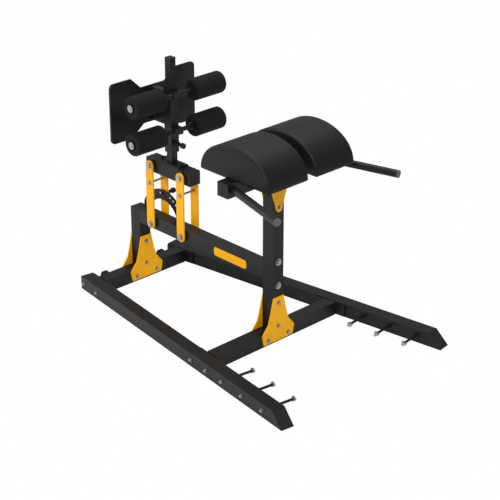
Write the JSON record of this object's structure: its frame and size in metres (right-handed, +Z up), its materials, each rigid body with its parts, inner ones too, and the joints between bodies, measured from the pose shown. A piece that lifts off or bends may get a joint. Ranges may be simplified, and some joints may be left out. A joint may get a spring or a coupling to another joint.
{
  "type": "glute ham developer",
  "caption": "Glute ham developer with splayed base rails, split thigh pad, tilting foot tower on parallel links and foam ankle rollers.",
  "frame": {"origin": "on the floor under the middle of the outer box", "axes": "+X towards the handles, +Y to the left, +Z up"},
  "size_m": [1.8524, 1.2218, 1.3605],
  "materials": {
    "black_frame": "satin powder coat",
    "yellow_plate": "satin powder coat",
    "zinc": "zinc plated",
    "plug_plastic": "matt",
    "pad_vinyl": "matt vinyl over foam",
    "foam": "matt closed-cell foam",
    "cap_grey": "satin",
    "wheel_rubber": "matt"
  },
  "bodies": {
    "frame": {"left_rail": "black_frame", "right_rail": "black_frame", "tube_plugs": "plug_plastic", "cross_tubes": "black_frame", "cross_flanges": "black_frame", "rear_post": "black_frame", "front_post": "black_frame", "main_beam": "black_frame", "base_gussets": "yellow_plate", "pad_gussets": "yellow_plate", "pad_crossbar": "black_frame", "handles": "black_frame", "handle_caps": "cap_grey", "pad_boards": "black_frame", "left_pad": "pad_vinyl", "right_pad": "pad_vinyl", "nameplate": "yellow_plate", "band_pegs": "black_frame", "peg_nuts": "zinc", "frame_bolts": "zinc", "arc_plate": "black_frame", "lower_pivots": "zinc", "wheel_brackets": "black_frame"},
    "rear_links": {"rear_links": "yellow_plate", "rear_link_rod": "zinc", "arc_pin_housing": "black_frame"},
    "front_links": {"front_links": "yellow_plate", "front_link_rod": "zinc"},
    "carriage": {"carriage_tube": "black_frame", "carriage_plugs": "plug_plastic", "upper_pivots": "zinc", "mast_base": "black_frame", "mast": "black_frame", "mast_cap": "plug_plastic"},
    "foot_hold": {"tower_sleeve": "black_frame", "roller_axles": "black_frame", "axle_ends": "zinc", "foot_arms": "black_frame", "foot_plate": "black_frame", "plate_bolts": "zinc"},
    "mast_pin": {"mast_pin": "zinc"},
    "arc_pin": {"arc_pin": "zinc"},
    "left_wheel": {"left_wheel": "wheel_rubber"},
    "right_wheel": {"right_wheel": "wheel_rubber"},
    "upper_left_roller": {"upper_left_foam": "foam", "upper_left_core": "plug_plastic"},
    "upper_right_roller": {"upper_right_foam": "foam", "upper_right_core": "plug_plastic"},
    "lower_left_roller": {"lower_left_foam": "foam", "lower_left_core": "plug_plastic"},
    "lower_right_roller": {"lower_right_foam": "foam", "lower_right_core": "plug_plastic"}
  },
  "joints": [
    {"name": "rear_links_tilt", "type": "hinge", "parent": "frame", "child": "rear_links", "pos_m": [-0.66517, 0, 0.386], "axis": [0, 1, 0], "range_deg": [-10.6, 42.4]},
    {"name": "front_links_tilt", "type": "hinge", "parent": "frame", "child": "front_links", "pos_m": [-0.41917, 0, 0.386], "axis": [0, 1, 0], "range_deg": [-10.6, 42.4]},
    {"name": "carriage_level", "type": "hinge", "parent": "rear_links", "child": "carriage", "pos_m": [-0.66517, 0, 0.729], "axis": [0, 1, 0], "range_deg": [-42.4, 10.6]},
    {"name": "foot_hold_height", "type": "slide", "parent": "carriage", "child": "foot_hold", "axis": [0, 0, 1], "range_m": [-0.05, 0.1]},
    {"name": "mast_pin_lock", "type": "slide", "parent": "foot_hold", "child": "mast_pin", "axis": [1, 0, 0], "range_m": [-0.012, 0]},
    {"name": "arc_pin_lock", "type": "slide", "parent": "rear_links", "child": "arc_pin", "axis": [0, 1, 0], "range_m": [-0.008, 0]},
    {"name": "upper_left_roller_spin", "type": "hinge", "parent": "foot_hold", "child": "upper_left_roller", "pos_m": [-0.49317, 0, 1.164], "axis": [0, 1, 0], "continuous": true},
    {"name": "upper_right_roller_spin", "type": "hinge", "parent": "foot_hold", "child": "upper_right_roller", "pos_m": [-0.49317, 0, 1.164], "axis": [0, 1, 0], "continuous": true},
    {"name": "lower_left_roller_spin", "type": "hinge", "parent": "foot_hold", "child": "lower_left_roller", "pos_m": [-0.49317, 0, 0.962], "axis": [0, 1, 0], "continuous": true},
    {"name": "lower_right_roller_spin", "type": "hinge", "parent": "foot_hold", "child": "lower_right_roller", "pos_m": [-0.49317, 0, 0.962], "axis": [0, 1, 0], "continuous": true},
    {"name": "left_wheel_spin", "type": "hinge", "parent": "frame", "child": "left_wheel", "pos_m": [-0.89017, 0, 0.036], "axis": [0, 1, 0], "continuous": true},
    {"name": "right_wheel_spin", "type": "hinge", "parent": "frame", "child": "right_wheel", "pos_m": [-0.89017, 0, 0.036], "axis": [0, 1, 0], "continuous": true}
  ],
  "couplings": [
    {"joint": "front_links_tilt", "follows": "rear_links_tilt", "ratio": 1},
    {"joint": "carriage_level", "follows": "rear_links_tilt", "ratio": -1}
  ]
}
